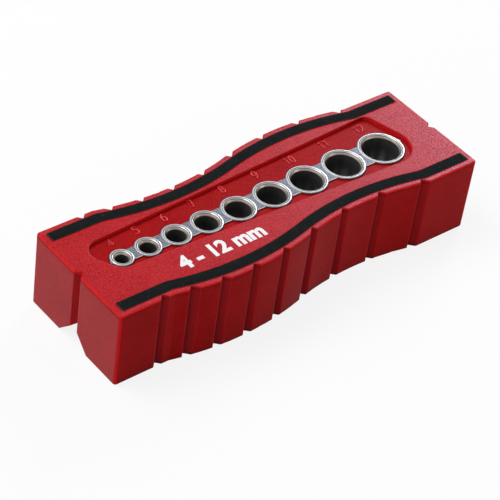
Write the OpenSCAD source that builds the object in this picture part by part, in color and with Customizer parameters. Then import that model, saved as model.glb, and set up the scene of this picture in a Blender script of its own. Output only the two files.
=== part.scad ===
// Drill guide: a moulded block that carries a row of steel bushes in steps of one size.
// The bushes hold a drill square to the face that the two soft strips grip, a V along the
// underside sits on rods and corners, and a mark on each side shows every bush's centre.
// The origin is the middle of the underside. +X runs to the largest bush, +Z is up.

/* [Block] */
// Width of the block at its straight ends
block_w = 42.6; // [41:0.2:50]
// Height of the block
block_h = 27; // [22:0.5:40]
// Length of one bend of the waved sides
bend_l = 49.6; // [44:0.2:52]
// How far a bend swings out
bend_rise = 3.1; // [2:0.1:4]
// Radius of the block's upright corners
corner_r = 1; // [0.8:0.1:3]
// Rounding of the block's top and bottom edges
edge_r = 0.5; // [0.3:0.1:0.8]

/* [V groove] */
// Width of the V groove at the underside
vee_w = 14.5; // [13.5:0.5:20]
// Angle between the V groove's flanks
vee_angle = 90; // [80:5:110]

/* [Centre marks] */
// Depth of the upright V marks on the sides and ends
mark_depth = 1.7; // [0.6:0.1:1.9]
// Angle between a mark's flanks
mark_angle = 90; // [60:5:100]

/* [Recess] */
// Depth of the recess that the bushes stand in
recess_depth = 1.1; // [1:0.1:2]
// Floor left free around the smallest ring
recess_margin = 0.9; // [0.5:0.1:1.4]
// Floor left free beside the largest ring
recess_margin_end = 1.3; // [0.8:0.1:1.6]
// From the small end of the block to the recess
recess_inset_small = 8.2; // [6:0.2:9]
// From the large end of the block to the recess
recess_inset_large = 12; // [10:0.2:12.5]
// Reach of the numbered side of the recess, at its small end
recess_reach_small = 9.5; // [8:0.25:10]
// Reach of the numbered side of the recess, at its large end
recess_reach_large = 14.9; // [13:0.25:15.25]
// Corner radius of the numbered side, at its small end
recess_corner_small = 5; // [3:0.25:5.5]
// Corner radius of the numbered side, at its large end
recess_corner_large = 3.1; // [2:0.25:5]
// How far the large end of the recess leans back
recess_lean = 3.2; // [1:0.2:5]

/* [Bushes] */
// Smallest drill
first_drill = 4; // [3:0.25:4.5]
// Largest drill
last_drill = 12; // [8:0.25:12]
// Clearance on a drill's diameter
drill_fit = 0.1; // [0.02:0.02:0.2]
// From the small end of the block to the smallest bore
first_bore_inset = 15.7; // [15:0.1:16.5]
// From the largest bore to the large end of the block
last_bore_inset = 22.1; // [21:0.1:26]
// Space between the first two rings of the rail
first_gap = 1.3; // [0.8:0.1:1.6]
// Space between the last two rings of the rail
last_gap = 0.6; // [0.3:0.1:1.2]
// Wall of a bush
bush_wall = 0.9; // [0.8:0.05:1]
// Width of the countersunk mouth
mouth_w = 0.45; // [0.3:0.05:0.6]
// Depth of the mouth's straight upper part
mouth_step = 0.2; // [0.1:0.05:0.4]
// Depth of the whole mouth
mouth_depth = 0.6; // [0.5:0.05:1.5]
// Height of the block's material under the bushes, above the V
bush_floor = 1.2; // [0.8:0.1:3]
// Clearance around a bush in its seat
seat_gap = 0.05; // [0.02:0.01:0.1]
// Clearance around a drill below its bush
drill_gap = 0.4; // [0.2:0.05:0.6]

/* [Ring rail] */
// Wall of a ring around its bush
ring_wall = 0.85; // [0.7:0.05:0.95]
// Depth of the rail's webs below the block's top
web_sink = 0.5; // [0.45:0.05:0.6]
// Depth of the rings below the block's top
ring_sink = 0.45; // [0.3:0.05:0.5]
// Depth of the bushes' rims below the block's top
rim_sink = 0.35; // [0.2:0.05:0.5]
// Length of the stub at each end of the rail
stub_l = 0.3; // [0.2:0.1:0.8]

/* [Grip strips] */
// Width of a strip
strip_w = 3.6; // [2:0.1:4]
// From the block's side to a strip
strip_margin = 2.1; // [1.95:0.05:2.6]
// From the block's ends to a strip
strip_inset = 2.3; // [1.2:0.1:6]
// Depth of a strip's channel
strip_depth = 1.2; // [0.6:0.1:3]
// Height of a strip above the block
strip_proud = 0.35; // [0.1:0.05:0.6]
// Clearance between a strip and its channel
strip_gap = 0.08; // [0.02:0.01:0.15]

/* [Hidden] */

// One overrun serves every cut
over = 1;
bush_count = 9;
// Segments of the long bends, and of small circles
BEND_FN = 240;
ROUND_FN = 64;

// Shares that shape the rail
web_width_share = 0.6;
web_chamfer_share = 0.35;
stub_width_share = 0.14;
shoulder_share = 0.8;
ring_lip_share = 0.2;
// Share of its radius at which a straight run of the recess leaves a corner
belt_share = 0.996;
// Share of its radius that a bulge has, so that it cuts the waist beside it instead of grazing it
bulge_share = 1.0005;

// Colours of the moulding, the bushes, the rail and the strips
BODY_RED = [0.72, 0.06, 0.10];
BUSH_STEEL = [0.80, 0.82, 0.84];
RAIL_GREY = [0.62, 0.64, 0.66];
STRIP_BLACK = [0.10, 0.12, 0.12];

// The row of bushes: each ring stands clear of the next, and the spaces narrow evenly
function drill(i) = first_drill + (last_drill - first_drill)*i/(bush_count - 1);
function bore_r(i) = (drill(i) + drill_fit)/2;
function bush_r(i) = bore_r(i) + bush_wall;
function ring_r(i) = bush_r(i) + seat_gap + ring_wall;
function gap_before(i) = first_gap + (last_gap - first_gap)*(i - 1)/(bush_count - 2);
function row_x(i) = i == 0 ? 0 : row_x(i - 1) + ring_r(i - 1) + gap_before(i) + ring_r(i);

// The block is as long as its row and what each end adds
block_l = first_bore_inset + row_x(bush_count - 1) + last_bore_inset;
function bore_x(i) = first_bore_inset - block_l/2 + row_x(i);

// Levels along Z
vee_depth = vee_w/2/tan(vee_angle/2);
recess_floor = block_h - recess_depth;
bush_base = vee_depth + bush_floor;
rim_top = block_h - rim_sink;
ring_top = block_h - ring_sink;
web_top = block_h - web_sink;

// The waved side: two bends of one radius that meet in the middle
bend_r = (pow(bend_l/2, 2) + pow(bend_rise, 2))/(2*bend_rise);

// How far the side swings out at x, for one bend ahead of the middle and one behind it
function bend_at(x) =
    abs(x) >= bend_l ? 0
    : sign(x)*(bend_rise - bend_r + sqrt(pow(bend_r, 2) - pow(abs(x) - bend_l/2, 2)));

// What one bend adds to a straight side along y = 0, from the middle of the block to its end
module bend() {
    intersection() {
        translate([bend_l/2, bend_rise - bend_r])
            circle(r = bend_r, $fn = BEND_FN);
        square([bend_l, bend_rise + over]);
    }
}

// Everything below the waved line at height y, as long as the block
module below_wave(y) {
    difference() {
        union() {
            translate([-block_l/2, -block_w])
                square([block_l, block_w + y]);
            translate([0, y])
                bend();
        }
        translate([0, y])
            rotate(180)
                bend();
    }
}

// A waved band between two heights, cut square at its ends
module waved_band(low, high, inset) {
    intersection() {
        difference() {
            below_wave(high);
            below_wave(low);
        }
        translate([inset - block_l/2, -block_w])
            square([block_l - 2*inset, 2*block_w]);
    }
}

// Half the section of a block with rounded top and bottom edges, from its middle to x = reach
module half_section(reach) {
    square([reach - edge_r, block_h]);
    translate([0, edge_r])
        square([reach, block_h - 2*edge_r]);
    for (z = [edge_r, block_h - edge_r])
        translate([reach - edge_r, z])
            circle(r = edge_r, $fn = ROUND_FN);
}

// A bar of that section along X
module rounded_bar(l, w) {
    translate([-l/2, 0, 0])
        rotate([90, 0, 90])
            linear_extrude(height = l) {
                half_section(w/2);
                mirror([1, 0])
                    half_section(w/2);
            }
}

// The straight block, with round upright corners
module straight_block() {
    rounded_bar(block_l - 2*corner_r, block_w);
    rotate([0, 0, 90])
        rounded_bar(block_w - 2*corner_r, block_l);
    for (x = [-1, 1])
        for (y = [-1, 1])
            translate([x*(block_l/2 - corner_r), y*(block_w/2 - corner_r), 0])
                rotate_extrude($fn = ROUND_FN)
                    half_section(corner_r);
}

// What a bend takes away where a side swings in: a spool with flared ends
module waist() {
    translate([-bend_l/2, block_w/2 + bend_r - bend_rise, 0])
        rotate_extrude($fn = BEND_FN)
            difference() {
                translate([0, -over])
                    square([bend_r + edge_r, block_h + 2*over]);
                translate([2*bend_r, 0])
                    mirror([1, 0])
                        half_section(bend_r);
            }
}

// What a bend adds where a side swings out, with the same rounded edges
module bulge() {
    intersection() {
        translate([bend_l/2, block_w/2 + bend_rise - bend_r, 0])
            rotate_extrude($fn = BEND_FN)
                half_section(bulge_share*bend_r);
        translate([-over, block_w/2 - 3*bend_rise, -over])
            cube([bend_l + 2*over, 5*bend_rise, block_h + 2*over]);
    }
}

module block() {
    difference() {
        straight_block();
        waist();
        rotate([0, 0, 180])
            waist();
    }
    bulge();
    rotate([0, 0, 180])
        bulge();
}

// An upright V mark in a face along the X axis, with the block at -Y
module mark() {
    wide = (mark_depth + over)*tan(mark_angle/2);
    translate([0, 0, -over])
        linear_extrude(height = block_h + 2*over)
            polygon([[-wide, over], [0, -mark_depth], [wide, over]]);
}

// A mark at each bush's centre on both sides, and one in the middle of each end
module marks() {
    for (i = [0:bush_count - 1])
        for (side = [-1, 1])
            translate([bore_x(i), side*block_w/2 + bend_at(bore_x(i)), 0])
                rotate([0, 0, side > 0 ? 0 : 180])
                    mark();
    for (end = [-1, 1])
        translate([end*block_l/2, 0, 0])
            rotate([0, 0, -90*end])
                mark();
}

// The V along the underside
module vee() {
    wide = (vee_depth + over)*tan(vee_angle/2);
    translate([-block_l/2 - over, 0, 0])
        rotate([90, 0, 90])
            linear_extrude(height = block_l + 2*over)
                polygon([[-wide, -over], [0, vee_depth], [wide, -over]]);
}

// Unit normal of the line that runs outside circles a and b, each [x, y, r], to its right
function belt_normal(a, b) =
    let (
        d = [b[0] - a[0], b[1] - a[1]],
        len = norm(d),
        along = (a[2] - b[2])/len,
        across = sqrt(1 - pow(along, 2))
    )
    [(d[0]*along + d[1]*across)/len, (d[1]*along - d[0]*across)/len];

// The outline of a belt around circles, listed counter-clockwise. Its straight runs start a
// hair inside the circles, so that they cross them cleanly.
module belt(circles) {
    n = len(circles);
    polygon([
        for (i = [0:n - 1])
            for (m = [
                belt_normal(circles[(i + n - 1) % n], circles[i]),
                belt_normal(circles[i], circles[(i + 1) % n])
            ])
                [
                    circles[i][0] + belt_share*circles[i][2]*m[0],
                    circles[i][1] + belt_share*circles[i][2]*m[1]
                ]
    ]);
    for (c = circles)
        translate([c[0], c[1]])
            circle(r = c[2], $fn = 2*ROUND_FN);
}

// The recess: close around the rings on one side, and wide enough for the sizes on the other
module recess_outline() {
    last = bush_count - 1;
    r_small = ring_r(0) + recess_margin;
    r_large = ring_r(last) + recess_margin_end;
    tip_small = recess_inset_small - block_l/2;
    tip_large = block_l/2 - recess_inset_large;
    belt([
        [bore_x(0), 0, r_small],
        [tip_large - r_large, 0, r_large],
        [
            tip_large - recess_lean - recess_corner_large,
            recess_reach_large - recess_corner_large,
            recess_corner_large
        ],
        [
            tip_small + recess_corner_small,
            recess_reach_small - recess_corner_small,
            recess_corner_small
        ]
    ]);
}

// The channel of a strip, with its clearance all round
module strip_plan(side, gap) {
    middle = side*(block_w/2 - strip_margin - strip_w/2);
    waved_band(middle - strip_w/2 - gap, middle + strip_w/2 + gap, strip_inset - gap);
}

module body() {
    color(BODY_RED)
        difference() {
            block();
            marks();
            vee();
            translate([0, 0, recess_floor])
                linear_extrude(height = recess_depth + over)
                    recess_outline();
            for (i = [0:bush_count - 1])
                translate([bore_x(i), 0, 0]) {
                    translate([0, 0, bush_base])
                        cylinder(r = bush_r(i) + seat_gap, h = block_h, $fn = ROUND_FN);
                    translate([0, 0, -over])
                        cylinder(r = bore_r(i) + drill_gap, h = block_h, $fn = ROUND_FN);
                }
            for (side = [-1, 1])
                translate([0, 0, block_h - strip_depth])
                    linear_extrude(height = strip_depth + over)
                        strip_plan(side, strip_gap);
        }
}

// One ring of the rail, with a round shoulder
module ring(i) {
    rise = ring_top - recess_floor;
    shoulder = min(ring_wall, rise)*shoulder_share;
    translate([bore_x(i), 0, recess_floor])
        rotate_extrude($fn = 2*ROUND_FN) {
            square([ring_r(i) - shoulder, rise]);
            square([ring_r(i), rise - shoulder]);
            intersection() {
                translate([ring_r(i) - shoulder, rise - shoulder])
                    circle(r = shoulder, $fn = ROUND_FN);
                square([ring_r(i) + over, rise + over]);
            }
        }
}

// What the chamfer inside a ring's rim takes away
module ring_lip(i) {
    seat_r = bush_r(i) + seat_gap;
    lip = ring_wall*ring_lip_share;
    translate([0, 0, ring_top - lip])
        rotate_extrude($fn = 2*ROUND_FN)
            polygon([[0, -lip], [seat_r - lip, -lip], [seat_r + lip + over, lip + over], [0, lip + over]]);
}

// A bar of the rail from x = a to x = b, with chamfered top edges
module web(a, b, width) {
    rise = web_top - recess_floor;
    chamfer = rise*web_chamfer_share;
    translate([a, 0, recess_floor])
        rotate([90, 0, 90])
            linear_extrude(height = b - a)
                polygon([
                    [-width/2, 0],
                    [width/2, 0],
                    [width/2, rise - chamfer],
                    [width/2 - chamfer, rise],
                    [chamfer - width/2, rise],
                    [-width/2, rise - chamfer]
                ]);
}

// The cast rail: a ring around each bush, webs between them, a stub at each end
module ring_rail() {
    last = bush_count - 1;
    stub_w = ring_r(0)*stub_width_share*2;
    color(RAIL_GREY)
        difference() {
            union() {
                for (i = [0:last])
                    ring(i);
                for (i = [0:last - 1])
                    web(bore_x(i), bore_x(i + 1), web_width_share*(ring_r(i) + ring_r(i + 1)));
                web(bore_x(0) - ring_r(0) - stub_l, bore_x(0), stub_w);
                web(bore_x(last), bore_x(last) + ring_r(last) + stub_l, stub_w);
            }
            for (i = [0:last])
                translate([bore_x(i), 0, 0]) {
                    cylinder(r = bush_r(i) + seat_gap, h = block_h + over, $fn = ROUND_FN);
                    ring_lip(i);
                }
        }
}

// A drill bush: a straight sleeve with a stepped, countersunk mouth and a broken outer edge
module bush(i) {
    h = rim_top - bush_base;
    broken = (bush_wall - mouth_w)/2;
    color(BUSH_STEEL)
        translate([bore_x(i), 0, bush_base])
            rotate_extrude($fn = 2*ROUND_FN)
                translate([bore_r(i), 0])
                    polygon([
                        [0, 0],
                        [bush_wall, 0],
                        [bush_wall, h - broken],
                        [bush_wall - broken, h],
                        [mouth_w, h],
                        [mouth_w, h - mouth_step],
                        [0, h - mouth_depth]
                    ]);
}

// A soft strip in its channel, standing a little above the block
module grip_strip(side) {
    color(STRIP_BLACK)
        translate([0, 0, block_h - strip_depth])
            linear_extrude(height = strip_depth + strip_proud)
                strip_plan(side, 0);
}

module bush_1() { bush(0); }
module bush_2() { bush(1); }
module bush_3() { bush(2); }
module bush_4() { bush(3); }
module bush_5() { bush(4); }
module bush_6() { bush(5); }
module bush_7() { bush(6); }
module bush_8() { bush(7); }
module bush_9() { bush(8); }

module grip_strip_left() { grip_strip(1); }
module grip_strip_right() { grip_strip(-1); }

body();
ring_rail();
bush_1();
bush_2();
bush_3();
bush_4();
bush_5();
bush_6();
bush_7();
bush_8();
bush_9();
grip_strip_left();
grip_strip_right();
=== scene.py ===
# %% [markdown]
# # A drill guide, from moulded block to polished bushes
#
# This file dresses a drill guide: a red moulded block that holds nine steel bushes in a cast
# rail, with two soft strips that grip the work. The solids come ready made from the CAD model.
# Here they get their finishes, and the pieces that need a finer form are built anew in the same
# places. Each cell does one thing, so it can be read and tried on its own.

# %% Load the fixed model
import math

import bmesh
import bpy
from mathutils import Euler, Matrix, Vector


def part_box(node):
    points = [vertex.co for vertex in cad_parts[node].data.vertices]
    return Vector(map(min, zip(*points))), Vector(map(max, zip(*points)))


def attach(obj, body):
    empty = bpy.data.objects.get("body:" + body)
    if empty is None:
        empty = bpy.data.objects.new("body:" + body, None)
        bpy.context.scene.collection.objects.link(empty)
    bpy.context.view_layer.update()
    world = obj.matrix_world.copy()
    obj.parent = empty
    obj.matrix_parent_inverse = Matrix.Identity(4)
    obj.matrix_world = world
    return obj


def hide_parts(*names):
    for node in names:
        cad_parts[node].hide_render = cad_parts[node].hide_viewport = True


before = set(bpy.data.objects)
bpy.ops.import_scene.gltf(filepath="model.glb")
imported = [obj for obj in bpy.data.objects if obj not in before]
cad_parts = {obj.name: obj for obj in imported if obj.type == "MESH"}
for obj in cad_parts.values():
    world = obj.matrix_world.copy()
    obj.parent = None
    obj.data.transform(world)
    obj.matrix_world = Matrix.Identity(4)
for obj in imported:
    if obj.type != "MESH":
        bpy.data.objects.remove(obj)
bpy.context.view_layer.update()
MM = 0.001
block_low, block_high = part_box("body")
TOP = block_high.z
END = block_high.x
print("block, mm:", [round(v / MM, 2) for v in block_high - block_low])

# %% [markdown]
# ## Measures that the pieces share
#
# The row of bushes follows a rule: each bore is one millimetre larger than the last, and the
# rings around the bushes stand clear of each other by a space that narrows evenly. A maker would
# write the rule down once and read every centre from it. Here the centres are read from the
# packed bushes, because a finish that is centred on a wrong axis shows at once on turned steel.
#
# The mouth of a bush is stepped. A dished rim leads to a short straight wall, and a cone leads
# from there to the bore. Its heights are written as depths below the top of the bush, so the
# outline and the colours of the steel can both use them.

# %% The row of bushes
COUNT = 9
DRILLS = [4 + i for i in range(COUNT)]
BORE_R = [(d + 0.1) / 2 * MM for d in DRILLS]
BUSH_BOX = [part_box(f"bush_{i + 1}") for i in range(COUNT)]
CENTRE_X = [(low.x + high.x) / 2 for low, high in BUSH_BOX]
RIM_TOP = BUSH_BOX[0][1].z
BUSH_BASE = BUSH_BOX[0][0].z
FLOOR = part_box("ring_rail")[0].z
for i in range(COUNT):
    wide = BUSH_BOX[i][1].x - BUSH_BOX[i][0].x
    print(f"bush {i + 1}: centre {CENTRE_X[i] / MM:.2f} mm, outside {wide / MM:.2f} mm")

# %% The mouth of a bush
BUSH_WALL = 0.9 * MM
MOUTH_WIDE = 0.45 * MM
RIM_DROP = 0.12 * MM
DISH_DEEP = 0.25 * MM
MOUTH_STEP = 0.45 * MM
MOUTH_DEEP = 0.95 * MM
# The painted highlight on the crest of a ring lies this far outside its bush
CREST_OUT = 0.42 * MM
print("mouth, mm wide and deep:", round(MOUTH_WIDE / MM, 2), round(MOUTH_DEEP / MM, 2))

# %% [markdown]
# ## A small bench of helpers for finishes
#
# Every finish below starts from the Principled shader. What is the same all over a surface is
# set on the shader's own socket, and only what varies comes from other nodes: colour from a
# ramp, roughness from a noise, height from a bump. The patterns read Object coordinates, which
# are metres here, so a scale of 1000 means one feature to a millimetre.

# %% Materials and nodes
def new_finish(name, **sockets):
    """A material with its tree and its shader, with plain values set on the shader."""
    made = bpy.data.materials.new(name)
    made.use_nodes = True
    tree = made.node_tree
    shader = tree.nodes["Principled BSDF"]
    for socket, value in sockets.items():
        shader.inputs[socket.replace("_", " ")].default_value = value
    return made, tree, shader


def add_node(tree, kind, inputs=None, **settings):
    """A node with its settings, its values and its links in one call."""
    node = tree.nodes.new(kind)
    for key, value in settings.items():
        setattr(node, key, value)
    for key, value in (inputs or {}).items():
        socket = node.inputs[key]
        if isinstance(value, bpy.types.NodeSocket):
            tree.links.new(value, socket)
        else:
            socket.default_value = value
    return node


def drive(tree, shader, **outputs):
    """Links outputs to the shader's sockets of the same names."""
    for socket, output in outputs.items():
        tree.links.new(output, shader.inputs[socket.replace("_", " ")])


print("nodes ready")

# %% Places and directions
def object_place(tree, shift=(0, 0, 0), scale=(1, 1, 1)):
    """Object coordinates, moved and stretched by a Mapping node."""
    where = add_node(tree, "ShaderNodeTexCoord")
    mapping = add_node(
        tree,
        "ShaderNodeMapping",
        {"Vector": where.outputs["Object"], "Location": shift, "Scale": scale},
    )
    return mapping.outputs["Vector"]


def split(tree, vector):
    """The X, Y and Z of a vector."""
    return add_node(tree, "ShaderNodeSeparateXYZ", {"Vector": vector}).outputs


def facing(tree):
    """The X, Y and Z of the normal: Z is 1 on a level top and 0 on an upright side."""
    return split(tree, add_node(tree, "ShaderNodeNewGeometry").outputs["Normal"])


print("places ready")

# %% [markdown]
# A mask is a value that is 1 where something holds and 0 elsewhere, with a soft change between.
# Masks are joined as in a darkroom: the product of two is where both hold, and the highest of two
# is where either does.

# %% Sums and masks
def sums(tree, operation, *values):
    """One Math node, fed with values or outputs."""
    node = add_node(tree, "ShaderNodeMath", dict(enumerate(values)), operation=operation)
    return node.outputs[0]


def in_a_row(tree, operation, values):
    """Math nodes in a row, where each takes in the next value."""
    total = values[0]
    for value in values[1:]:
        total = sums(tree, operation, total, value)
    return total


def times(tree, *values):
    return in_a_row(tree, "MULTIPLY", values)


def highest(tree, *values):
    return in_a_row(tree, "MAXIMUM", values)


def size_of(tree, value):
    """A value without its sign."""
    return sums(tree, "ABSOLUTE", value)


def spread(tree, value, low, high, start=0.0, end=1.0):
    """Stretches a value from the span start to end over the span low to high."""
    node = add_node(
        tree,
        "ShaderNodeMapRange",
        {"Value": value, "From Min": start, "From Max": end, "To Min": low, "To Max": high},
    )
    return node.outputs["Result"]


def above(tree, value, limit, soft):
    """A mask of values above a limit, which changes over the distance soft on either side."""
    return spread(tree, value, 0.0, 1.0, limit - soft, limit + soft)


def below(tree, value, limit, soft):
    """A mask of values below a limit, which changes over the distance soft on either side."""
    return spread(tree, value, 1.0, 0.0, limit - soft, limit + soft)


def between(tree, value, low, high, soft):
    """A mask of values between two limits."""
    return times(tree, above(tree, value, low, soft), below(tree, value, high, soft))


print("masks ready")

# %% Patterns and colours
def noise(tree, place, scale, detail=2.0, rough=0.5):
    node = add_node(
        tree,
        "ShaderNodeTexNoise",
        {"Vector": place, "Scale": scale, "Detail": detail, "Roughness": rough},
    )
    return node.outputs["Fac"]


def ramp(tree, factor, stops, smooth=True):
    """A colour ramp from a list of (place, colour) stops."""
    node = add_node(tree, "ShaderNodeValToRGB", {"Fac": factor})
    band = node.color_ramp
    band.interpolation = "EASE" if smooth else "LINEAR"
    while len(band.elements) < len(stops):
        band.elements.new(0.5)
    for element, (place, colour) in zip(band.elements, stops):
        element.position = place
        element.color = (*colour, 1)
    return node.outputs["Color"]


def blend(tree, factor, first, second):
    """A mix of a colour output and a plain colour. A Mix node's colours are inputs 6 and 7."""
    node = add_node(
        tree,
        "ShaderNodeMix",
        {"Factor": factor, 6: first, 7: (*second, 1)},
        data_type="RGBA",
    )
    return node.outputs[2]


def blend_values(tree, factor, first, second):
    """A mix of two numbers, which are a Mix node's inputs 2 and 3."""
    node = add_node(
        tree, "ShaderNodeMix", {"Factor": factor, 2: first, 3: second}, data_type="FLOAT"
    )
    return node.outputs[0]


print("patterns ready")

# %% Edges and bumps
EDGE_SAMPLES = 6


def soft_edges(tree, radius):
    """Normals as if the edges were rounded, for a finish on hard-edged solids."""
    node = add_node(tree, "ShaderNodeBevel", {"Radius": radius}, samples=EDGE_SAMPLES)
    return node.outputs["Normal"]


def edge_wear(tree, rounded, full=0.80, none=0.97):
    """1 where the rounded normal leaves the true face, so on edges, and 0 on flat ground.

    The two limits are cosines of the angle between the normals.
    """
    face = add_node(tree, "ShaderNodeNewGeometry").outputs["True Normal"]
    agree = add_node(tree, "ShaderNodeVectorMath", {0: rounded, 1: face}, operation="DOT_PRODUCT")
    return spread(tree, agree.outputs["Value"], 1.0, 0.0, full, none)


def bump(tree, shader, height, strength, depth, normal=None):
    """Tilts the shader's normals by a height, on top of other normals where they are given."""
    inputs = {"Height": height, "Strength": strength, "Distance": depth}
    if normal is not None:
        inputs["Normal"] = normal
    drive(tree, shader, Normal=add_node(tree, "ShaderNodeBump", inputs).outputs["Normal"])


print("edges ready")

# %% [markdown]
# ## The wave along the block
#
# Both long sides and both strips follow one wave: an arc that swings out, then one of the same
# radius that swings the other way. The block's finish and the strips both ask where the wave is,
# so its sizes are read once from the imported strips, and one helper gives its height. The helper
# is made of Math nodes, which work alike in a material and in a geometry tree.

# %% Sizes of the wave
STRIP_LOW, STRIP_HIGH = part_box("grip_strip_left")
STRIP_WIDE = 3.6 * MM
STRIP_OUTSIDE = (STRIP_LOW.y + STRIP_HIGH.y + STRIP_WIDE) / 2
BEND_LONG = 49.6 * MM
BEND_RISE = (STRIP_HIGH.y - STRIP_LOW.y - STRIP_WIDE) / 2
BEND_RADIUS = ((BEND_LONG / 2) ** 2 + BEND_RISE**2) / (2 * BEND_RISE)
print("bend, mm: rise", round(BEND_RISE / MM, 2), "radius", round(BEND_RADIUS / MM, 1))

# %% Height of the wave
def wave_height(tree, along, bend, rise, radius):
    """How far the wave swings out at a place along it: one arc ahead of zero, one behind it."""
    out = size_of(tree, along)
    from_top = sums(tree, "SUBTRACT", out, times(tree, bend, 0.5))
    under = sums(tree, "SUBTRACT", times(tree, radius, radius), times(tree, from_top, from_top))
    arch = sums(tree, "ADD", sums(tree, "SQRT", under), sums(tree, "SUBTRACT", rise, radius))
    on_bend = sums(tree, "LESS_THAN", out, bend)
    return times(tree, arch, on_bend, sums(tree, "SIGN", along))


print("wave ready")

# %% [markdown]
# ## The moulded red plastic
#
# The block is a hard glossy moulding with a satin skin. Light goes a little way into the red, so
# its edges glow warmer than its faces. It is one mesh, and it keeps the solid's flat faces, so
# its painted shade and highlights can't be put on separate pieces. Masks find each place by where
# a
# point is and which way it faces: the recess with its leaning wall, the sides, the foot, the
# upright corners of the ends, the round top edge, and the narrow lips outside the strips.

# %% Places on the block
SIDE_FROM = 14.6 * MM
FOOT_TALL = 0.75 * MM
CORNER_LONG = 1.1 * MM


def block_places(tree, place):
    """The masks of the block's places, by name."""
    spot = split(tree, place)
    face = facing(tree)
    outside = above(tree, size_of(tree, spot["Y"]), SIDE_FROM, 0.2 * MM)
    inside = sums(tree, "SUBTRACT", 1.0, outside)
    at_end = above(tree, size_of(tree, spot["X"]), END - CORNER_LONG, 0.1 * MM)
    turned = size_of(tree, times(tree, face["X"], face["Y"]))
    wall = between(tree, spot["Z"], FLOOR + 0.1 * MM, TOP - 0.02 * MM, 0.04 * MM)
    wave = wave_height(tree, spot["X"], BEND_LONG, BEND_RISE, BEND_RADIUS)
    from_wave = size_of(tree, sums(tree, "SUBTRACT", spot["Y"], wave))
    level = above(tree, face["Z"], 0.93, 0.03)
    return {
        "recess": between(tree, spot["Z"], FLOOR - 0.3 * MM, FLOOR + 0.3 * MM, 0.15 * MM),
        "recess wall": times(tree, wall, below(tree, face["Z"], 0.90, 0.05), inside),
        "upright": times(tree, below(tree, size_of(tree, face["Z"]), 0.1, 0.05), outside),
        "long side": above(tree, size_of(tree, face["Y"]), 0.7, 0.2),
        "foot": times(tree, below(tree, spot["Z"], FOOT_TALL, 0.25 * MM), outside),
        "corner": times(tree, above(tree, turned, 0.275, 0.125), at_end, outside),
        "round top edge": between(tree, face["Z"], 0.35, 0.93, 0.06),
        "lip": times(tree, above(tree, from_wave, STRIP_OUTSIDE, 0.05 * MM), level),
        "upward": face["Z"],
    }


print("places on the block ready")

# %% [markdown]
# The roots of the upright marks and the foot get a painted shade. The Ambient Occlusion node
# finds the roots, because little of the open air is seen from a root. Edges get a painted
# highlight, a lighter red. The Bevel node gives the normal of a rounded edge, and where that
# leaves the true face there is an edge. The wall of the recess gets the painted highlight too.

# %% Painted shade and highlight of the block
ROOT_REACH = 1.6 * MM
EDGE_FINE = 0.25 * MM
EDGE_BROAD = 0.7 * MM


def block_grime(tree, where, air):
    """How much painted shade a point gets: most in the roots of the marks and at the foot."""
    # painted shade: roots found by ambient occlusion, and the foot
    roots = times(tree, below(tree, air, 0.625, 0.175), where["upright"])
    return highest(tree, roots, where["foot"])


def block_wear(tree, where, air, broad):
    """How much painted highlight a point gets: on sharp and round edges, on corners, on proud
    ribs and on the wall of the recess.
    """
    sharp = edge_wear(tree, soft_edges(tree, EDGE_FINE))
    proud = times(tree, broad, above(tree, air, 0.875, 0.075), where["upright"])
    # painted highlight on the wall of the recess
    highlit_recess_wall = times(tree, where["recess wall"], 0.8)
    return highest(tree, sharp, where["round top edge"], where["corner"], proud, highlit_recess_wall)


print("grime and wear ready")

# %% [markdown]
# The satin skin is a low level of gloss with a cool tint, called bloom here. Fine flecks and the
# tilt of a face let it come and go, so the top glints under a low lamp. The long sides, the
# recess and the edges with a painted highlight are calm. Hands polish the lips outside the
# strips, so these shine a little more, up to a clean line of clear red at the brink.

# %% Bloom of the block
BLOOM = 0.15
BLOOM_CALM = 0.025
BLOOM_TINT = (0.71, 0.66, 1.0, 1)


def block_bloom(tree, where, painted_highlight, broad, fleck):
    """The specular level of a point."""
    calm = highest(tree, where["long side"], painted_highlight, times(tree, where["recess"], 0.95))
    swing = spread(tree, where["upward"], 0.15, 0.65, 0.5, 0.9)
    glint = sums(tree, "MULTIPLY_ADD", spread(tree, fleck, -1.0, 1.1, 0.40, 0.60), swing, 1.0)
    polish = spread(tree, where["lip"], 1.0, 1.7)
    brink = spread(tree, times(tree, where["lip"], broad), 1.0, 0.15)
    return times(tree, spread(tree, calm, BLOOM, BLOOM_CALM), glint, polish, brink)


print("bloom ready")

# %% [markdown]
# The finish puts these together. A slow mottling with fine flecks gives the red, painted shade in
# the roots, at the foot and in the recess darkens it, and a painted highlight lightens it. A fine
# grain tilts the normals of edges that are rounded as well, so the block reads as a moulding and
# not as a cut solid.

# %% Moulded plastic
RED_DEEP = (0.36, 0.004, 0.004)
RED_FULL = (0.50, 0.010, 0.011)
RED_PAINTED_HIGHLIGHT = (0.85, 0.018, 0.020)


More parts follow.
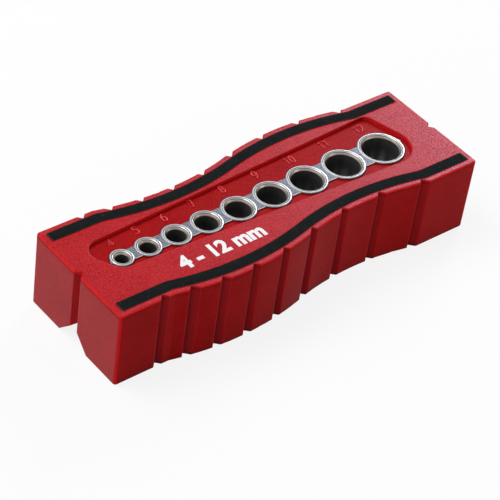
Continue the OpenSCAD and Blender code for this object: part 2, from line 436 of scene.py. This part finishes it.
def moulded_plastic():
    made, tree, shader = new_finish(
        "moulded_red",
        IOR=1.5,
        Subsurface_Weight=0.08,
        Subsurface_Scale=0.0015,
        Subsurface_Radius=(1.0, 0.12, 0.08),
        Specular_Tint=BLOOM_TINT,
    )
    place = object_place(tree)
    where = block_places(tree, place)
    nearby = add_node(tree, "ShaderNodeAmbientOcclusion", {"Distance": ROOT_REACH}, samples=8)
    air = nearby.outputs["AO"]
    eased = soft_edges(tree, EDGE_BROAD)
    broad = edge_wear(tree, eased, 0.94, 0.995)
    painted_shade = block_grime(tree, where, air)
    painted_highlight = block_wear(tree, where, air, broad)

    fleck = noise(tree, place, 2400, 2.0, 0.6)
    mottle = blend_values(tree, 0.65, noise(tree, place, 90, 3.0, 0.55), fleck)
    red = ramp(tree, mottle, [(0.3, RED_DEEP), (0.7, RED_FULL)])
    # painted shade: darker in the recess, in the roots of the marks and at the foot
    shade = times(
        tree, spread(tree, where["recess"], 1.0, 0.80), spread(tree, painted_shade, 1.0, 0.40)
    )
    toned = add_node(tree, "ShaderNodeVectorMath", {0: red, "Scale": shade}, operation="SCALE")
    # the lighter red is a painted highlight on edges, corners, ribs and the recess wall
    drive(
        tree,
        shader,
        Base_Color=blend(tree, times(tree, painted_highlight, 0.8), toned.outputs["Vector"], RED_PAINTED_HIGHLIGHT),
        Specular_IOR_Level=block_bloom(tree, where, painted_highlight, broad, fleck),
        Roughness=spread(tree, noise(tree, place, 700, 3.0, 0.6), 0.28, 0.44),
    )
    bump(tree, shader, noise(tree, place, 4200, 2.0, 0.6), 0.4, 0.05 * MM, eased)
    return made


MOULDED_RED = moulded_plastic()
print("made", MOULDED_RED.name)

# %% [markdown]
# ## The cast rail
#
# The rail is grey metal with the dull, finely pitted skin of a casting that was tumbled. A
# metal's colour is its reflection, so most of the work is in the roughness: a broad cloudiness
# with fine speckle over it, and a shallow bump of the same speckle. The crests of the rings get a
# painted highlight. A crest is a circle round a bore, so the distance from the nearest such
# circle says how bright a point is, and the rail's one mesh needs no mask painted by hand.

# %% Crests of the rings
def crest_distance(tree, spot):
    """How far a point is from the nearest crest, seen from above."""
    nearest = 1.0
    for centre_x, bore_radius in zip(CENTRE_X, BORE_R):
        from_axis = add_node(
            tree,
            "ShaderNodeCombineXYZ",
            {"X": sums(tree, "SUBTRACT", spot["X"], centre_x), "Y": spot["Y"]},
        )
        reach = add_node(
            tree, "ShaderNodeVectorMath", {0: from_axis.outputs["Vector"]}, operation="LENGTH"
        )
        crest = bore_radius + BUSH_WALL + CREST_OUT
        away = size_of(tree, sums(tree, "SUBTRACT", reach.outputs["Value"], crest))
        nearest = sums(tree, "MINIMUM", away, nearest)
    return nearest


print("crests:", [round((r + BUSH_WALL + CREST_OUT) / MM, 2) for r in BORE_R], "mm radius")

# %% Cast metal
GREY_PIT = (0.055, 0.060, 0.070)
GREY_SKIN = (0.190, 0.204, 0.228)
GREY_PAINTED_HIGHLIGHT = (0.44, 0.46, 0.49)
RED_PAINTED_REFLECTION = (0.12, 0.008, 0.006)


def rail_wear(tree, crest, slope, rounded):
    """How much painted highlight a point gets: the crests most, then the edges of the webs."""
    # painted highlight along the crests
    on_crest = below(tree, crest, 0.195 * MM, 0.085 * MM)
    off_ring = above(tree, crest, 0.53 * MM, 0.03 * MM)
    web_edge = times(tree, between(tree, slope, 0.4, 0.92, 0.04), off_ring)
    return highest(tree, on_crest, times(tree, edge_wear(tree, rounded), 0.5), web_edge)


def cast_metal():
    made, tree, shader = new_finish("cast_rail_metal", Metallic=0.8)
    place = object_place(tree)
    spot = split(tree, place)
    rounded = soft_edges(tree, 0.14 * MM)
    # The foot of the rail gets a painted reflection of the red floor that it stands on, and no
    # painted highlight
    foot = below(tree, spot["Z"], FLOOR + 0.37 * MM, 0.07 * MM)
    painted_highlight = rail_wear(tree, crest_distance(tree, spot), facing(tree)["Z"], rounded)
    painted_highlight = times(tree, painted_highlight, sums(tree, "SUBTRACT", 1.0, foot))

    cloud = noise(tree, place, 260, 4.0, 0.6)
    speckle = noise(tree, place, 1700, 3.0, 0.7)
    grey = ramp(tree, speckle, [(0.32, GREY_PIT), (0.68, GREY_SKIN)])
    skin = blend(tree, foot, grey, RED_PAINTED_REFLECTION)
    drive(
        tree,
        shader,
        Base_Color=blend(tree, painted_highlight, skin, GREY_PAINTED_HIGHLIGHT),
        Roughness=blend_values(tree, painted_highlight, spread(tree, cloud, 0.42, 0.58), 0.30),
    )
    bump(tree, shader, speckle, 0.4, 0.04 * MM, rounded)
    return made


CAST_METAL = cast_metal()
print("made", CAST_METAL.name)

# %% [markdown]
# ## Turned steel
#
# A bush is turned and ground. Its dished rim is plain steel. Its stepped, countersunk mouth gets
# a warm painted reflection on the cone and a painted shade on the short wall above it, and the
# bore below is painted dark as shade. Height along Z tells these zones apart, so one ramp on Z
# gives them all, with two stops close together where one zone meets the next.

# %% Colours down a bush
RAMP_TALL = 4.0 * MM
SEAM = 0.03 * MM


def ramp_place(depth):
    """The place on the ramp of a depth below the top of the bush."""
    return 1.0 - depth / RAMP_TALL


# From the bore upwards: painted shade in the bore, a warm painted reflection on the cone, painted
# shade on the short wall, then the dished rim in plain steel
STEEL_AND_PAINTED_LIGHT_STOPS = [
    (0.0, (0.05, 0.05, 0.05)),
    (ramp_place(MOUTH_DEEP + SEAM), (0.07, 0.07, 0.07)),
    (ramp_place(MOUTH_DEEP - SEAM / 3), (0.20, 0.172, 0.148)),
    (ramp_place(MOUTH_STEP + SEAM), (0.34, 0.30, 0.265)),
    (ramp_place(MOUTH_STEP - SEAM), (0.12, 0.105, 0.095)),
    (ramp_place(DISH_DEEP + SEAM), (0.16, 0.142, 0.13)),
    (ramp_place(DISH_DEEP - SEAM), (0.34, 0.32, 0.30)),
    (1.0, (0.40, 0.39, 0.38)),
]
print("stops down a bush:", [round(place, 3) for place, _ in STEEL_AND_PAINTED_LIGHT_STOPS])

# %% [markdown]
# Light from the open lower end lies in streaks along the wall of the bore, so a noise stretched
# along the bore paints that light on its lower part and varies the roughness. The tool leaves
# fine
# rings round the axis: a wave texture in rings, centred on each bush by a Mapping node, makes
# them.
# Each bush needs its own centre and so its own material, but one function writes all nine.

# %% Turned steel
LIT_FROM = 13.0 * MM
LIT_UP_TO = 5.0 * MM
GREY_LIT = (0.40, 0.41, 0.43)


def turned_steel(number, centre_x):
    made, tree, shader = new_finish(f"turned_steel_{number}")
    place = object_place(tree, shift=(-centre_x, 0, 0))
    height = split(tree, place)["Z"]
    up = spread(tree, height, 0.0, 1.0, RIM_TOP - RAMP_TALL, RIM_TOP)
    along = object_place(tree, shift=(-centre_x, 0, 0), scale=(1, 1, 0.03))
    streaks = noise(tree, along, 420, 1.0, 0.4)

    steel = ramp(tree, up, STEEL_AND_PAINTED_LIGHT_STOPS, smooth=False)
    deep = spread(tree, height, 1.0, 0.0, RIM_TOP - LIT_FROM, RIM_TOP - LIT_UP_TO)
    lit = times(tree, deep, spread(tree, streaks, 0.1, 1.0, 0.42, 0.60))
    bare_from, bare_to = ramp_place(MOUTH_DEEP + SEAM), ramp_place(MOUTH_DEEP - SEAM)
    drive(
        tree,
        shader,
        Base_Color=blend(tree, lit, steel, GREY_LIT),
        Metallic=spread(tree, up, 0.3, 1.0, bare_from, bare_to),
        Roughness=spread(tree, streaks, 0.27, 0.45, 0.35, 0.65),
    )
    rings = add_node(
        tree,
        "ShaderNodeTexWave",
        {"Vector": place, "Scale": 900.0, "Distortion": 0.6, "Detail": 2.0},
        wave_type="RINGS",
        rings_direction="Z",
    )
    bump(tree, shader, rings.outputs["Fac"], 0.15, 0.03 * MM)
    return made


TURNED_STEEL = [turned_steel(i + 1, CENTRE_X[i]) for i in range(COUNT)]
print("made", len(TURNED_STEEL), "turned finishes")

# %% [markdown]
# ## Soft dark rubber
#
# The strips are a dull, nearly black elastomer with a faint green cast. Rubber scatters light
# at its skin, so it is rough all over, with a fine leathery bump. A few pale specks lie on it,
# and its rounded edges get a pale painted highlight, found where the normal tips away from
# upright.

# %% Rubber
BLACK_DEEP = (0.005, 0.007, 0.007)
BLACK_SKIN = (0.010, 0.013, 0.013)
SPECK_AND_HIGHLIGHT_GREY = (0.13, 0.14, 0.15)


def soft_rubber():
    made, tree, shader = new_finish("strip_rubber_dark", IOR=1.45, Specular_IOR_Level=0.03)
    place = object_place(tree)
    clouds = noise(tree, place, 420, 4.0, 0.65)
    skin = ramp(tree, clouds, [(0.3, BLACK_DEEP), (0.75, BLACK_SKIN)])
    flecks = noise(tree, place, 1500, 1.0, 0.4)
    specks = ramp(tree, flecks, [(0.72, (0, 0, 0)), (0.76, (1, 1, 1))])
    # pale painted highlight on the rounded edges
    painted_edge_highlight = spread(tree, facing(tree)["Z"], 0.55, 0.0, 0.3, 0.9)
    specks_and_highlight = highest(tree, times(tree, specks, 0.5), painted_edge_highlight)
    drive(
        tree,
        shader,
        Base_Color=blend(tree, specks_and_highlight, skin, SPECK_AND_HIGHLIGHT_GREY),
        Roughness=spread(tree, clouds, 0.62, 0.8),
    )
    grain = noise(tree, place, 3600, 3.0, 0.7)
    bump(tree, shader, grain, 0.4, 0.08 * MM, soft_edges(tree, 0.2 * MM))
    return made


STRIP_RUBBER = soft_rubber()
print("made", STRIP_RUBBER.name)

# %% [markdown]
# ## Printing ink
#
# The size range is printed in white. Ink is a thin matt film, with a little mottling where the
# pad laid it down unevenly.

# %% Ink
def white_ink():
    made, tree, shader = new_finish("white_ink", IOR=1.45)
    film = noise(tree, object_place(tree), 2400, 3.0, 0.6)
    drive(
        tree,
        shader,
        Base_Color=ramp(tree, film, [(0.25, (0.80, 0.78, 0.79)), (0.7, (0.90, 0.89, 0.90))]),
        Roughness=spread(tree, film, 0.45, 0.6),
    )
    bump(tree, shader, film, 0.2, 0.03 * MM)
    return made


WHITE_INK = white_ink()
print("made", WHITE_INK.name)

# %% [markdown]
# ## Dress the solids that stay
#
# Every solid gets its finish here by a change of its material slot alone. The block and the rail
# keep their solids to the end. The bushes and the strips are built anew in the cells below,
# because their softened edges catch light that a sharp solid would not.

# %% Materials for the solids
def dress(name, finish):
    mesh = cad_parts[name].data
    mesh.materials.clear()
    mesh.materials.append(finish)


dress("body", MOULDED_RED)
dress("ring_rail", CAST_METAL)
for i in range(COUNT):
    dress(f"bush_{i + 1}", TURNED_STEEL[i])
for side in ("left", "right"):
    dress(f"grip_strip_{side}", STRIP_RUBBER)
print("dressed", len(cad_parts), "solids")

# %% [markdown]
# ## Raised size numbers
#
# The numbers stand up from the floor of the recess as thin rounded ridges, left by the ball of
# the mould maker's cutter. A cutter follows a path, so each number is drawn as the strokes that
# the cutter would run along, and Geometry Nodes sweep a small round along them. The strokes, the
# width and the place are the tree's inputs, so one tree serves all nine numbers.

# %% Strokes of the figures
CELL = 2.1 * MM
NARROW = 0.74
TALL = 1.5
PITCH = 1.25


def arc(cx, cy, rx, ry, start, stop, steps=14):
    """Points along part of an ellipse, with angles in degrees."""
    turn = [math.radians(start + (stop - start) * k / steps) for k in range(steps + 1)]
    return [(cx + rx * math.cos(a), cy + ry * math.sin(a)) for a in turn]


STROKES = {
    "0": [arc(0.5, 0.75, 0.45, 0.75, 0, 360, 24)],
    "1": [[(0.15, 1.2), (0.5, TALL), (0.5, 0)]],
    "2": [arc(0.5, 1.05, 0.45, 0.45, 165, -35) + [(0.02, 0), (1.0, 0)]],
    "4": [[(0.75, 0), (0.75, TALL), (0, 0.45), (1.05, 0.45)]],
    "5": [[(0.92, TALL), (0.18, TALL), (0.1, 0.82)] + arc(0.46, 0.48, 0.48, 0.48, 125, -145)],
    "6": [arc(0.5, 0.46, 0.46, 0.46, 0, 360, 20), arc(0.92, 0.52, 0.88, 0.98, 178, 100)],
    "7": [[(0, TALL), (0.98, TALL), (0.38, 0)]],
    "8": [arc(0.5, 1.12, 0.37, 0.37, 0, 360, 18), arc(0.5, 0.39, 0.44, 0.39, 0, 360, 20)],
}
STROKES["9"] = [[(1 - x, TALL - y) for x, y in line] for line in STROKES["6"]]
print("figures drawn:", sorted(STROKES))

# %% Curves from strokes
def add_object(name, data):
    """A new object, put into the scene at the origin."""
    made = bpy.data.objects.new(name, data)
    bpy.context.scene.collection.objects.link(made)
    return made


def add_run(curve, points, closed=False):
    """Adds one run of straight lines through some points to a curve."""
    run = curve.splines.new("POLY")
    run.points.add(len(points) - 1)
    for point, (x, y) in zip(run.points, points):
        point.co = (x, y, 0, 1)
    run.use_cyclic_u = closed


def stroke_curves(text):
    """A curve object with one run for each stroke of a number, centred on the origin."""
    curve = bpy.data.curves.new("strokes_" + text, "CURVE")
    curve.dimensions = "3D"
    middle = (PITCH * (len(text) - 1) + 1) / 2
    for i, figure in enumerate(text):
        for line in STROKES[figure]:
            run = [
                ((x + PITCH * i - middle) * NARROW * CELL, (y - TALL / 2) * CELL)
                for x, y in line
            ]
            add_run(curve, run)
    return add_object("strokes_" + text, curve)


print("curves ready")

# %% [markdown]
# A geometry tree is a small program. Its inputs are named, so it can be run again with other
# sizes. Every tree here ends in the same way: the shape is moved to its place, instances become
# real, and the finish is set. Running a tree gives a plain mesh, with no modifier left on it.

# %% A bench for geometry trees
def geometry_tree(name, inputs):
    """A node group with named inputs, a Place, a Finish and one Geometry output."""
    tree = bpy.data.node_groups.new(name, "GeometryNodeTree")
    tree.interface.new_socket("Geometry", in_out="INPUT", socket_type="NodeSocketGeometry")
    for label, kind in [*inputs, ("Place", "Vector"), ("Finish", "Material")]:
        tree.interface.new_socket(label, in_out="INPUT", socket_type="NodeSocket" + kind)
    tree.interface.new_socket("Geometry", in_out="OUTPUT", socket_type="NodeSocketGeometry")
    return tree, tree.nodes.new("NodeGroupInput").outputs


def close_tree(tree, shape, given):
    """Moves a shape to its place and ends the tree in Realize Instances and Set Material."""
    placed = add_node(
        tree, "GeometryNodeTransform", {"Geometry": shape, "Translation": given["Place"]}
    )
    real = add_node(
        tree, "GeometryNodeRealizeInstances", {"Geometry": placed.outputs["Geometry"]}
    )
    skin = add_node(
        tree,
        "GeometryNodeSetMaterial",
        {"Geometry": real.outputs["Geometry"], "Material": given["Finish"]},
    )
    add_node(tree, "NodeGroupOutput", {"Geometry": skin.outputs["Geometry"]})
    return tree


def plain_mesh(maker, name):
    """The evaluated shape of a maker object as a plain mesh. The maker is removed."""
    bpy.context.view_layer.update()
    evaluated = maker.evaluated_get(bpy.context.evaluated_depsgraph_get())
    mesh = bpy.data.meshes.new_from_object(evaluated)
    mesh.name = name
    bpy.data.objects.remove(maker)
    return mesh


def run_tree(name, tree, values):
    """Runs a tree once with these inputs and keeps the result as a plain mesh object."""
    maker = add_object(name + "_maker", bpy.data.meshes.new(name + "_maker"))
    modifier = maker.modifiers.new("maker", "NODES")
    modifier.node_group = tree
    for item in tree.interface.items_tree:
        if item.in_out == "INPUT" and item.name in values:
            modifier[item.identifier] = values[item.name]
    return add_object(name, plain_mesh(maker, name))


print("bench ready")

# %% The tree for raised numbers
def number_tree():
    tree, given = geometry_tree(
        "raised_number", [("Strokes", "Object"), ("Stroke Radius", "Float")]
    )
    strokes = add_node(tree, "GeometryNodeObjectInfo", {"Object": given["Strokes"]})
    rounds = add_node(
        tree,
        "GeometryNodeCurvePrimitiveCircle",
        {"Resolution": 12, "Radius": given["Stroke Radius"]},
    )
    ridges = add_node(
        tree,
        "GeometryNodeCurveToMesh",
        {
            "Curve": strokes.outputs["Geometry"],
            "Profile Curve": rounds.outputs["Curve"],
            "Fill Caps": True,
        },
    )
    return close_tree(tree, ridges.outputs["Mesh"], given)


NUMBER_TREE = number_tree()
print("tree made:", NUMBER_TREE.name)

# %% [markdown]
# A ridge this thin is mostly edge, so it catches more light than the floor it stands on. That
# highlight is painted: the ridge gets the red of the block one step lighter and glossier.

# %% Finish of the ridges
def ridge_plastic():
    made, tree, shader = new_finish("ridge_red_painted_highlight", IOR=1.5, Specular_IOR_Level=0.3)
    mottle = noise(tree, object_place(tree), 900, 2.0, 0.5)
    drive(
        tree,
        shader,
        Base_Color=ramp(tree, mottle, [(0.3, (0.56, 0.018, 0.020)), (0.7, (0.68, 0.028, 0.030))]),
        Roughness=spread(tree, mottle, 0.26, 0.36),
    )
    bump(tree, shader, mottle, 0.2, 0.04 * MM)
    return made


PAINTED_HIGHLIGHT_RIDGE_RED = ridge_plastic()
print("made", PAINTED_HIGHLIGHT_RIDGE_RED.name)

# %% Nine raised numbers
NUMBER_AT = [
    (-52.7, 7.4), (-43.0, 8.1), (-32.4, 8.5), (-21.2, 9.4), (-9.0, 10.1),
    (4.2, 10.4), (18.3, 10.6), (33.0, 11.1), (48.1, 11.6),
]
RIDGE = 0.24 * MM
RIDGE_RISE = 0.05 * MM
for drill, (x, y) in zip(DRILLS, NUMBER_AT):
    strokes = stroke_curves(str(drill))
    number = run_tree(
        f"size_number_{drill}",
        NUMBER_TREE,
        {
            "Strokes": strokes,
            "Stroke Radius": RIDGE,
            "Place": (x * MM, y * MM, FLOOR + RIDGE_RISE),
            "Finish": PAINTED_HIGHLIGHT_RIDGE_RED,
        },
    )
    bpy.data.objects.remove(strokes)
    number.data.shade_smooth()
    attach(number, "root")
print("raised numbers, mm tall:", round(TALL * CELL / MM, 2))

# %% [markdown]
# ## Nine bushes, turned from one tree
#
# A lathe makes a bush by spinning steel past a tool, so every bush is one outline carried round
# an axis. The tree does the same: Curve to Mesh carries the outline round a circle of the bore's
# radius. Fillet Curve rounds each corner a little first, because a real turned edge is broken and
# catches a thin line of light. Outline, radius, rounding and place are inputs, so the nine bushes
# differ only in their values.

# %% Outline of a bush
BUSH_TALL = RIM_TOP - BUSH_BASE
EDGE_BREAK = 0.08 * MM
RIM_FLAT = 0.06 * MM
THROAT_LEAN = 0.03 * MM


def closed_outline(name, points):
    """A closed curve of straight runs, written as (outward, upward), for a tree to carry round.

    Curve to Mesh lays the outline's Y axis downward on a circle that is seen from above, so the
    heights change sign here, and the order is turned round to keep the faces outward.
    """
    curve = bpy.data.curves.new(name, "CURVE")
    add_run(curve, [(out, -up) for out, up in reversed(points)], closed=True)
    return add_object(name, curve)


bush_outline = closed_outline(
    "bush_outline",
    [
        (0, 0),
        (BUSH_WALL, 0),
        (BUSH_WALL, BUSH_TALL - RIM_DROP - EDGE_BREAK),
        (BUSH_WALL - EDGE_BREAK, BUSH_TALL - RIM_DROP),
        (BUSH_WALL - EDGE_BREAK - RIM_FLAT, BUSH_TALL - RIM_DROP),
        (MOUTH_WIDE + THROAT_LEAN, BUSH_TALL - DISH_DEEP),
        (MOUTH_WIDE, BUSH_TALL - MOUTH_STEP),
        (0, BUSH_TALL - MOUTH_DEEP),
    ],
)
print("bush outline, mm tall:", round(BUSH_TALL / MM, 2))

# %% The tree for bushes
AROUND = 144


def bush_tree():
    tree, given = geometry_tree(
        "turned_bush", [("Outline", "Object"), ("Bore Radius", "Float"), ("Rounding", "Float")]
    )
    drawn = add_node(tree, "GeometryNodeObjectInfo", {"Object": given["Outline"]})
    eased = add_node(
        tree,
        "GeometryNodeFilletCurve",
        {
            "Curve": drawn.outputs["Geometry"],
            "Count": 3,
            "Radius": given["Rounding"],
            "Limit Radius": True,
        },
        mode="POLY",
    )
    path = add_node(
        tree,
        "GeometryNodeCurvePrimitiveCircle",
        {"Resolution": AROUND, "Radius": given["Bore Radius"]},
    )
    upright = add_node(
        tree, "GeometryNodeSetCurveNormal", {"Curve": path.outputs["Curve"]}, mode="Z_UP"
    )
    turned = add_node(
        tree,
        "GeometryNodeCurveToMesh",
        {"Curve": upright.outputs["Curve"], "Profile Curve": eased.outputs["Curve"]},
    )
    return close_tree(tree, turned.outputs["Mesh"], given)


BUSH_TREE = bush_tree()
print("tree made:", BUSH_TREE.name)

# %% Shading and a report on a mesh
SHARP_ANGLE = 40


def smooth_faces(piece):
    """Smooth shading that still keeps edges sharper than the angle above, in degrees."""
    piece.data.shade_smooth()
    piece.data.set_sharp_from_angle(angle=math.radians(SHARP_ANGLE))


def mesh_report(piece):
    """Whether a mesh is closed, and its volume, which is above zero when it faces outward."""
    work = bmesh.new()
    work.from_mesh(piece.data)
    open_edges = sum(not edge.is_manifold for edge in work.edges)
    volume = work.calc_volume(signed=True) / MM**3
    work.free()
    return f"{piece.name}: open edges {open_edges}, volume {volume:.1f} mm3"


print("report ready")

# %% Nine bushes
TURNED_ROUNDING = 0.04 * MM
for i in range(COUNT):
    bush = run_tree(
        f"turned_bush_{i + 1}",
        BUSH_TREE,
        {
            "Outline": bush_outline,
            "Bore Radius": BORE_R[i],
            "Rounding": TURNED_ROUNDING,
            "Place": (CENTRE_X[i], 0, BUSH_BASE),
            "Finish": TURNED_STEEL[i],
        },
    )
    smooth_faces(bush)
    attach(bush, "root")
    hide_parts(f"bush_{i + 1}")
    print(mesh_report(bush))
bpy.data.objects.remove(bush_outline)

# %% [markdown]
# ## Two grip strips, bent along the wave
#
# A grip strip is extruded straight and pressed into its channel, which bends it. The tree goes
# the same way: it sweeps a section with rounded corners along a straight line, and then Set
# Position moves each point sideways by the height of the wave at its place. The wave is two arcs
# of one radius, so a few Math nodes give that height, and the strip follows the channel exactly.

# %% A straight strip
STRIP_POINTS = 337


def straight_strip(tree, given):
    """A section with rounded corners, carried along a straight line."""
    half = times(tree, given["Length"], 0.5)
    tail = add_node(tree, "ShaderNodeCombineXYZ", {"X": times(tree, half, -1.0)})
    head = add_node(tree, "ShaderNodeCombineXYZ", {"X": half})
    line = add_node(
        tree, "GeometryNodeCurvePrimitiveLine", {"Start": tail.outputs[0], "End": head.outputs[0]}
    )
    points = add_node(
        tree,
        "GeometryNodeResampleCurve",
        {"Curve": line.outputs["Curve"], "Count": STRIP_POINTS},
    )
    upright = add_node(
        tree, "GeometryNodeSetCurveNormal", {"Curve": points.outputs["Curve"]}, mode="Z_UP"
    )
    section = add_node(
        tree,
        "GeometryNodeCurvePrimitiveQuadrilateral",
        {"Width": given["Width"], "Height": given["Height"]},
    )
    eased = add_node(
        tree,
        "GeometryNodeFilletCurve",
        {"Curve": section.outputs["Curve"], "Count": 4, "Radius": given["Rounding"]},
        mode="POLY",
    )
    straight = add_node(
        tree,
        "GeometryNodeCurveToMesh",
        {
            "Curve": upright.outputs["Curve"],
            "Profile Curve": eased.outputs["Curve"],
            "Fill Caps": True,
        },
    )
    return straight.outputs["Mesh"]


print("points along a strip:", STRIP_POINTS)

# %% The tree for strips
def strip_tree():
    sizes = ["Length", "Width", "Height", "Rounding", "Bend Length", "Bend Rise", "Bend Radius"]
    tree, given = geometry_tree("grip_strip", [(size, "Float") for size in sizes])
    spot = add_node(tree, "GeometryNodeInputPosition")
    along = split(tree, spot.outputs["Position"])["X"]
    height = wave_height(
        tree, along, given["Bend Length"], given["Bend Rise"], given["Bend Radius"]
    )
    aside = add_node(tree, "ShaderNodeCombineXYZ", {"Y": height})
    bent = add_node(
        tree,
        "GeometryNodeSetPosition",
        {"Geometry": straight_strip(tree, given), "Offset": aside.outputs[0]},
    )
    return close_tree(tree, bent.outputs["Geometry"], given)


STRIP_TREE = strip_tree()
print("tree made:", STRIP_TREE.name)

# %% Two strips
STRIP_ROUNDING = 0.22 * MM
for side in ("left", "right"):
    low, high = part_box(f"grip_strip_{side}")
    strip = run_tree(
        f"soft_strip_{side}",
        STRIP_TREE,
        {
            "Length": high.x - low.x,
            "Width": STRIP_WIDE,
            "Height": high.z - low.z,
            "Rounding": STRIP_ROUNDING,
            "Bend Length": BEND_LONG,
            "Bend Rise": BEND_RISE,
            "Bend Radius": BEND_RADIUS,
            "Place": (low + high) / 2,
            "Finish": STRIP_RUBBER,
        },
    )
    smooth_faces(strip)
    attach(strip, "root")
    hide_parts(f"grip_strip_{side}")
    print(mesh_report(strip))
    made = [round(edge / MM, 2) for corner in (0, 6) for edge in strip.bound_box[corner]]
    print("box:", made, "fixed model:", [round(v / MM, 2) for v in (*low, *high)])

# %% [markdown]
# ## The printed size range
#
# The print is a text curve with a little weight added to its outline, made a mesh before its
# place is applied, so that the object itself sits at the origin.

# %% The printed range
FILM = 0.01 * MM
FILM_ABOVE = 0.012 * MM


def printed_line(name, words, size, weight, centre):
    """Words in white ink on the top of the block, centred on a point in X and Y."""
    curve = bpy.data.curves.new(name, "FONT")
    curve.body = words
    curve.size = size
    curve.offset = weight
    curve.extrude = FILM
    curve.align_x = "CENTER"
    curve.align_y = "CENTER"
    mesh = plain_mesh(add_object(name + "_maker", curve), name)
    mesh.transform(Matrix.Translation((*centre, TOP + FILM_ABOVE)))
    mesh.materials.clear()
    mesh.materials.append(WHITE_INK)
    made = add_object(name, mesh)
    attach(made, "root")
    return made


size_range = printed_line(
    "size_range_print", "4 - 12 mm", 7.4 * MM, 0.32 * MM, (-26.0 * MM, -12.0 * MM)
)
print("printed range, mm wide:", round(size_range.dimensions.x / MM, 1))

# %% [markdown]
# ## Floor, light and camera
#
# The object stands on a white floor that runs on to the horizon. The world is white where the
# camera, a reflection or a ray through glass sees it, and a plain grey as a source of light, so
# the background is white without more light on the object. The floor is clear from below, so that
# the V under the block can be looked at. A broad lamp stands overhead, and a cooler one beyond
# the large bushes lifts the top towards that end. Two small fills lighten the near side, with
# some warmth, and the end beside the small bushes.

# %% Rays that see the background
def seen_directly(tree):
    """1 for a ray from the camera, off a glossy surface or through glass, else 0."""
    path = add_node(tree, "ShaderNodeLightPath").outputs
    return highest(
        tree, path["Is Camera Ray"], path["Is Glossy Ray"], path["Is Transmission Ray"]
    )


print("rays ready")

# %% Floor
FLOOR_REACH = 3.0
FLOOR_DROP = 0.02 * MM
BOUNCE_GREY = (0.55, 0.55, 0.55, 1)
GLOW = 0.86


def white_floor():
    made, tree, shader = new_finish("white_floor", Roughness=0.9, Base_Color=BOUNCE_GREY)
    lit = add_node(tree, "ShaderNodeBsdfDiffuse", {"Color": (0.9, 0.9, 0.9, 1)})
    white = add_node(tree, "ShaderNodeEmission", {"Color": (1, 1, 1, 1), "Strength": 1.0})
    clear = add_node(tree, "ShaderNodeBsdfTransparent")
    behind = add_node(tree, "ShaderNodeNewGeometry").outputs["Backfacing"]

    def mixed(share, first, second):
        inputs = {0: share, 1: first.outputs[0], 2: second.outputs[0]}
        return add_node(tree, "ShaderNodeMixShader", inputs)

    shown = mixed(GLOW, lit, white)
    both = mixed(seen_directly(tree), shader, shown)
    one_sided = mixed(behind, both, clear)
    tree.links.new(one_sided.outputs[0], tree.nodes["Material Output"].inputs["Surface"])
    return made


mesh = bpy.data.meshes.new("floor")
corners = [(-1, -1), (1, -1), (1, 1), (-1, 1)]
mesh.from_pydata(
    [(x * FLOOR_REACH, y * FLOOR_REACH, -FLOOR_DROP) for x, y in corners], [], [(0, 1, 2, 3)]
)
mesh.materials.append(white_floor())
floor = add_object("floor", mesh)
print("floor laid")

# %% World
WORLD_LEVEL = 0.2
world = bpy.data.worlds.new("studio")
bpy.context.scene.world = world
world.use_nodes = True
back = world.node_tree.nodes["Background"]
back.inputs["Color"].default_value = (1, 1, 1, 1)
strength = spread(world.node_tree, seen_directly(world.node_tree), WORLD_LEVEL, 1.0)
world.node_tree.links.new(strength, back.inputs["Strength"])
print("world lit")

# %% Lamps
def soft_lamp(name, place, aim, size, power, colour=(1, 1, 1)):
    """A square area lamp at a place, turned to face a point."""
    light = bpy.data.lights.new(name, "AREA")
    light.shape = "RECTANGLE"
    light.size = light.size_y = size
    light.energy = power
    light.color = colour
    lamp = add_object(name, light)
    lamp.location = place
    lamp.rotation_euler = (Vector(aim) - Vector(place)).to_track_quat("-Z", "Y").to_euler()


MIDDLE = (0, 0, 0.02)
COOL = (0.88, 0.91, 1.0)
WARM = (1.0, 0.9, 0.75)
soft_lamp("overhead_softbox", (-0.35, 0.35, 0.85), MIDDLE, 0.6, 7.0)
soft_lamp("far_softbox", (0.85, 0.5, 0.55), MIDDLE, 0.36, 5.4, COOL)
soft_lamp("side_fill", (0.20, -0.26, 0.12), (0.09, 0, 0.012), 0.16, 0.14, WARM)
soft_lamp("end_fill", (-0.55, -0.1, 0.2), (-0.07, 0, 0.015), 0.2, 0.25)
print("lamps set")

# %% Camera
SENSOR_WIDE = 36
LENS = 145.26
CAMERA_AT = (-0.33394, -0.34049, 0.41380)
CAMERA_TURN = (49.0316, -6.5721, -38.5101)
camera_data = bpy.data.cameras.new("camera")
camera_data.sensor_width = SENSOR_WIDE
camera_data.sensor_fit = "HORIZONTAL"
camera_data.lens = LENS
camera_data.clip_start = 0.01
camera = add_object("camera", camera_data)
camera.location = CAMERA_AT
camera.rotation_euler = Euler([math.radians(angle) for angle in CAMERA_TURN])
bpy.context.scene.camera = camera
bpy.context.scene.view_settings.view_transform = "Standard"
print("camera placed")
